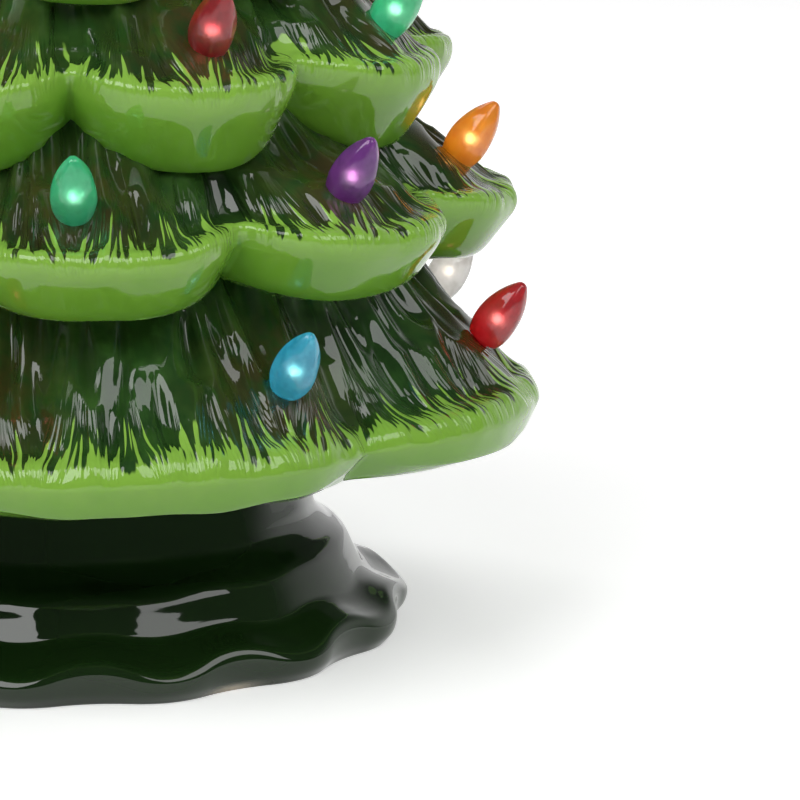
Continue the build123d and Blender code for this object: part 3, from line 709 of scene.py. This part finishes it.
def dark_shade(tree, place, blades_at):
    """Dark green of the ridges: patches, greener streaks, brown round the bulbs, darker in the carved drops."""
    patches = rise(tree, noise(tree, place, 0.8, 3.0), 0.42, 0.72)
    streaks = rise(tree, noise(tree, blades_at, 4.0, 2.0), 0.58, 0.75)
    brown = calc(tree, "MULTIPLY", calc(tree, "SQRT", attribute(tree, "halo")),
                 rise(tree, noise(tree, place, 1.6, 2.0), 0.25, 0.6))
    dark = mix(tree, patches, tone(34, 66, 26), tone(52, 92, 39))
    dark = mix(tree, calc(tree, "MULTIPLY", streaks, 0.45), dark, tone(52, 96, 34))
    dark = mix(tree, calc(tree, "MULTIPLY", brown, 0.85), dark, tone(68, 48, 26))
    return mix(tree, calc(tree, "MULTIPLY", attribute(tree, "carved"), 0.35), dark, tone(16, 38, 15))


def leaf_glaze():
    """Green glaze on the tiers: dark above, pale below, meeting in ragged blades like brushed needles.

    The map "slope" gives cm along a tier and up from its fold; the blades stand round a line above the fold. Near it
    they also stand out as needles in the surface.
    """
    blade_line = 0.70
    material, tree, shader = new_material("leaf_glaze")
    place = add(tree, "ShaderNodeUVMap", uv_map="slope").outputs[0]
    split = add(tree, "ShaderNodeSeparateXYZ", {0: place})
    up = calc(tree, "SUBTRACT", split.outputs[1], blade_line)
    pale, blades, blades_at = leaf_blades(tree, place, split.outputs[0], up)
    colour = mix(tree, pale, dark_shade(tree, place, blades_at), pale_shade(tree, place, up))
    clay = mix(tree, noise(tree, place, 2.0, 4.0), tone(206, 196, 178), tone(226, 218, 204))
    bare = attribute(tree, "bare")
    tree.links.new(mix(tree, bare, colour, clay), shader.inputs["Base Color"])
    needles = calc(tree, "MULTIPLY", rise(tree, up, -1.2, -0.5),
                   calc(tree, "SUBTRACT", 1.0, rise(tree, up, 0.5, 2.0)))
    ripples = glazed(tree, shader, bare, gloss=0.03)
    height = calc(tree, "MULTIPLY_ADD", calc(tree, "MULTIPLY", needles, blades), 1.3, ripples)
    bump(tree, shader, height, strength=0.5, distance=0.0016)
    shader.inputs["IOR"].default_value = 1.52
    return material


def deep_glaze():
    """Nearly black green glaze of the base in two close shades, bare clay underneath and at a chip in the lip."""
    material, tree, shader = new_material("deep_glaze")
    spot = add(tree, "ShaderNodeTexCoord").outputs["Object"]
    shade = mix(tree, rise(tree, noise(tree, spot, 14.0, 2.0), 0.3, 0.75), tone(22, 43, 15), tone(30, 53, 22))
    bare = attribute(tree, "bare")
    clay = mix(tree, noise(tree, spot, 90.0, 4.0), tone(198, 186, 166), tone(222, 212, 196))
    tree.links.new(mix(tree, bare, shade, clay), shader.inputs["Base Color"])
    bump(tree, shader, glazed(tree, shader, bare, gloss=0.02), strength=0.15, distance=0.002)
    shader.inputs["IOR"].default_value = 1.5
    return material


def bulb_plastic(name, colour, deep, glow):
    """Clear coloured plastic, deeper in its streaks, with a painted glow that makes it paler round the light inside,
    and flow lines in the surface.
    """
    material, tree, shader = new_material(name)
    spot = add(tree, "ShaderNodeTexCoord").outputs["Object"]
    flow = noise(tree, spot, 260.0, 2.0)
    shade = mix(tree, rise(tree, flow, 0.4, 0.7), colour, deep)
    # Painted glow: the colour goes up to a twentieth of the way to white round the light inside
    lit = calc(tree, "MULTIPLY", attribute(tree, "lit"), 0.05)
    tree.links.new(mix(tree, lit, shade, tone(255, 250, 240)), shader.inputs["Base Color"])
    rough = calc(tree, "MULTIPLY_ADD", noise(tree, spot, 140.0, 2.0), 0.10, 0.60)
    tree.links.new(rough, shader.inputs["Roughness"])
    bump(tree, shader, flow, strength=0.42, distance=0.0012)
    shader.inputs["Transmission Weight"].default_value = 0.8
    shader.inputs["IOR"].default_value = 1.42
    shader.inputs["Coat Weight"].default_value = 1.0
    shader.inputs["Coat Roughness"].default_value = 0.03
    shader.inputs["Emission Color"].default_value = colour
    shader.inputs["Emission Strength"].default_value = glow
    return material


def glowing_core():
    """The lit end of the light path in each bulb, dimmer where the mesh's level is lower."""
    material, tree, shader = new_material("glowing_core")
    spot = add(tree, "ShaderNodeTexCoord").outputs["Object"]
    warm = mix(tree, noise(tree, spot, 300.0, 1.0), tone(255, 236, 214), tone(255, 250, 240))
    tree.links.new(warm, shader.inputs["Base Color"])
    tree.links.new(mix(tree, attribute(tree, "level"), tone(0, 0, 0), warm), shader.inputs["Emission Color"])
    tree.links.new(calc(tree, "MULTIPLY_ADD", noise(tree, spot, 200.0, 1.0), 0.2, 0.3), shader.inputs["Roughness"])
    shader.inputs["Emission Strength"].default_value = 5.0
    return material


def moulded(name, colour, other, rough=0.42, grain=900.0, strength=0.2, metal=0.0):
    """Moulded or plated finish: two close shades that drift, faint grain in the surface."""
    material, tree, shader = new_material(name)
    effect = add(tree, "ShaderNodeGroup", node_tree=MOULDED_GRAIN)
    effect.inputs["Grain"].default_value = grain
    effect.inputs["Roughness"].default_value = rough
    tree.links.new(mix(tree, rise(tree, effect.outputs["Tint"], 0.3, 0.7), colour, other),
                   shader.inputs["Base Color"])
    tree.links.new(effect.outputs["Roughness"], shader.inputs["Roughness"])
    bump(tree, shader, effect.outputs["Height"], strength, distance=0.0004)
    shader.inputs["Metallic"].default_value = metal
    return material, tree, shader


def star_plastic():
    """Translucent warm yellow plastic with light held in it."""
    material, tree, shader = moulded("star_plastic", tone(250, 200, 60), tone(255, 220, 110),
                                     rough=0.18, grain=500.0, strength=0.3)
    spot = add(tree, "ShaderNodeTexCoord").outputs["Object"]
    tree.links.new(mix(tree, noise(tree, spot, 70.0, 2.0), tone(255, 170, 30), tone(255, 215, 110)),
                   shader.inputs["Emission Color"])
    shader.inputs["Emission Strength"].default_value = 0.16
    shader.inputs["Transmission Weight"].default_value = 0.5
    return material


# Pieces, each with its material

tiers = [tier_piece(index) for index in range(len(TIERS))]
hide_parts("tree_shell")
leaf = leaf_glaze()
for tier in tiers:
    tier.data.materials.append(leaf)

base = base_piece()
base.data.materials.append(deep_glaze())

BULB_TONES = {
    "red": (tone(206, 8, 26), tone(168, 4, 18), 0.05),
    "green": (tone(60, 214, 154), tone(24, 184, 120), 0.15),
    "blue": (tone(64, 198, 226), tone(26, 154, 188), 0.12),
    "purple": (tone(140, 50, 168), tone(106, 30, 134), 0.10),
    "amber": (tone(250, 160, 28), tone(236, 132, 10), 0.10),
    "clear": (tone(240, 236, 232), tone(204, 198, 192), 0.04),
}
for colour, (bright, deep, glow) in BULB_TONES.items():
    bulb_piece(colour).data.materials.append(bulb_plastic(f"{colour}_plastic", bright, deep, glow))
cores = core_piece()
cores.data.materials.append(glowing_core())

white = moulded("white_plastic", tone(226, 224, 218), tone(236, 235, 230))[0]
black = moulded("black_plastic", tone(24, 24, 26), tone(34, 34, 36), rough=0.45)[0]
steel = moulded("plated_steel", tone(176, 176, 178), tone(200, 200, 202),
                rough=0.28, grain=1600.0, strength=0.1, metal=1.0)[0]
dome = moulded("dome_plastic", tone(240, 238, 230), tone(248, 246, 240), rough=0.35, grain=700.0, strength=0.1)
dome[2].inputs["Transmission Weight"].default_value = 0.35
emitter = moulded("emitter_resin", tone(250, 240, 200), tone(255, 248, 220), rough=0.2)
emitter[2].inputs["Emission Color"].default_value = tone(255, 240, 210)
emitter[2].inputs["Emission Strength"].default_value = 1.5
FINISHES = {
    "star_topper": star_plastic(),
    "lamp_holder": white,
    "led_board": moulded("lamp_board", tone(30, 92, 52), tone(38, 108, 62), rough=0.35, grain=1500.0)[0],
    "led_emitters": emitter[0],
    "board_screws": steel,
    "diffuser_dome": dome[0],
    "battery_tray": black,
    "battery_door": black,
    "battery_cells": moulded("cell_wrap", tone(58, 60, 66), tone(74, 76, 84), rough=0.3, grain=300.0, strength=0.1)[0],
    "contact_plates": steel,
    "contact_springs": steel,
    "switch_body": black,
    "switch_knob": moulded("switch_grey", tone(120, 120, 124), tone(138, 138, 142), rough=0.4, grain=700.0)[0],
    "switch_screws": steel,
    "lead_wires": moulded("lead_jacket", tone(150, 24, 20), tone(172, 34, 28), rough=0.4, grain=800.0)[0],
}
for node, finish in FINISHES.items():
    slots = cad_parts[node].data.materials
    slots.clear()
    slots.append(finish)


# Floor, light and camera

def floor_piece():
    """A wide flat sheet at the height of the foot: the point (x, y, 0) for x and y on a square.

    It is lit up where the eye, a reflection or clear plastic sees it, more so behind the tree.
    """
    reach, lines = 8.0, 9
    glow, glow_behind, behind_from, behind_to = 0.405, 0.24, 0.1, 1.3
    side = np.linspace(-reach, reach, lines)
    x, y = np.meshgrid(side, side)
    points = np.stack([x, y, 0 * x], axis=-1).reshape(-1, 3)
    number = np.arange(lines * lines).reshape(lines, lines)
    faces = np.stack([number[:-1, :-1], number[:-1, 1:], number[1:, 1:], number[1:, :-1]], axis=-1).reshape(-1, 4)
    mesh = bpy.data.meshes.new("floor")
    mesh.from_pydata(points.tolist(), [], faces.tolist())
    piece = bpy.data.objects.new("floor", mesh)
    bpy.context.scene.collection.objects.link(piece)
    material, tree, shader = new_material("floor_white")
    spot = add(tree, "ShaderNodeTexCoord").outputs["Object"]
    tree.links.new(mix(tree, noise(tree, spot, 3.0, 2.0), tone(244, 244, 244), tone(247, 247, 247)),
                   shader.inputs["Base Color"])
    shader.inputs["Roughness"].default_value = 0.6
    path = add(tree, "ShaderNodeLightPath")
    seen = calc(tree, "MAXIMUM", path.outputs["Is Camera Ray"],
                calc(tree, "MAXIMUM", path.outputs["Is Glossy Ray"], path.outputs["Is Transmission Ray"]))
    shader.inputs["Emission Color"].default_value = (1.0, 1.0, 1.0, 1.0)
    depth = add(tree, "ShaderNodeSeparateXYZ", {0: spot}).outputs[1]
    level = calc(tree, "MULTIPLY_ADD", rise(tree, depth, behind_from, behind_to), glow_behind, glow)
    tree.links.new(calc(tree, "MULTIPLY", seen, level), shader.inputs["Emission Strength"])
    piece.data.materials.append(material)


def softbox(name, place, aim, width, height, power):
    """A rectangular soft lamp at a place, turned to what it lights."""
    lamp = bpy.data.lights.new(name, "AREA")
    lamp.shape = "RECTANGLE"
    lamp.size, lamp.size_y, lamp.energy = width, height, power
    holder = bpy.data.objects.new(name, lamp)
    holder.location = place
    holder.rotation_euler = (Vector(aim) - Vector(place)).to_track_quat("-Z", "Y").to_euler()
    bpy.context.scene.collection.objects.link(holder)


floor_piece()
softbox("key_left", (-0.75, -0.98, 1.33), (0.0, 0.0, 0.15), width=1.15, height=1.05, power=18.0)
softbox("fill_right", (0.91, -0.85, 1.26), (0.0, 0.0, 0.12), width=1.20, height=0.95, power=11.5)
softbox("back_top", (-0.25, 0.95, 1.60), (0.0, 0.0, 0.15), width=1.2, height=0.8, power=9.0)

# A dim room with a pale sweep low behind the tree
world = bpy.data.worlds.new("studio")
bpy.context.scene.world = world
world.use_nodes = True
sky = world.node_tree
ray = add(sky, "ShaderNodeSeparateXYZ", {0: add(sky, "ShaderNodeTexCoord").outputs["Generated"]})
sweep = calc(sky, "MULTIPLY", rise(sky, ray.outputs[1], -0.1, 0.5),
             calc(sky, "SUBTRACT", 1.0, rise(sky, ray.outputs[2], 0.25, 0.6)))
sky.nodes["Background"].inputs["Color"].default_value = (1.0, 1.0, 1.0, 1.0)
sky.links.new(calc(sky, "MULTIPLY_ADD", sweep, 0.7, 0.07), sky.nodes["Background"].inputs["Strength"])

# The photograph's view, fitted to its bulbs and outlines
camera = bpy.data.cameras.new("camera")
camera.sensor_width, camera.lens = 36.0, 163.6
eye = bpy.data.objects.new("camera", camera)
eye.location = (0.0, -0.962, 0.260)
yaw, pitch = np.radians(5.233), np.radians(11.77)
ahead = Vector((np.sin(yaw) * np.cos(pitch), np.cos(yaw) * np.cos(pitch), -np.sin(pitch)))
eye.rotation_euler = ahead.to_track_quat("-Z", "Y").to_euler()
bpy.context.scene.collection.objects.link(eye)
bpy.context.scene.camera = eye
bpy.context.scene.view_settings.view_transform = "Standard"
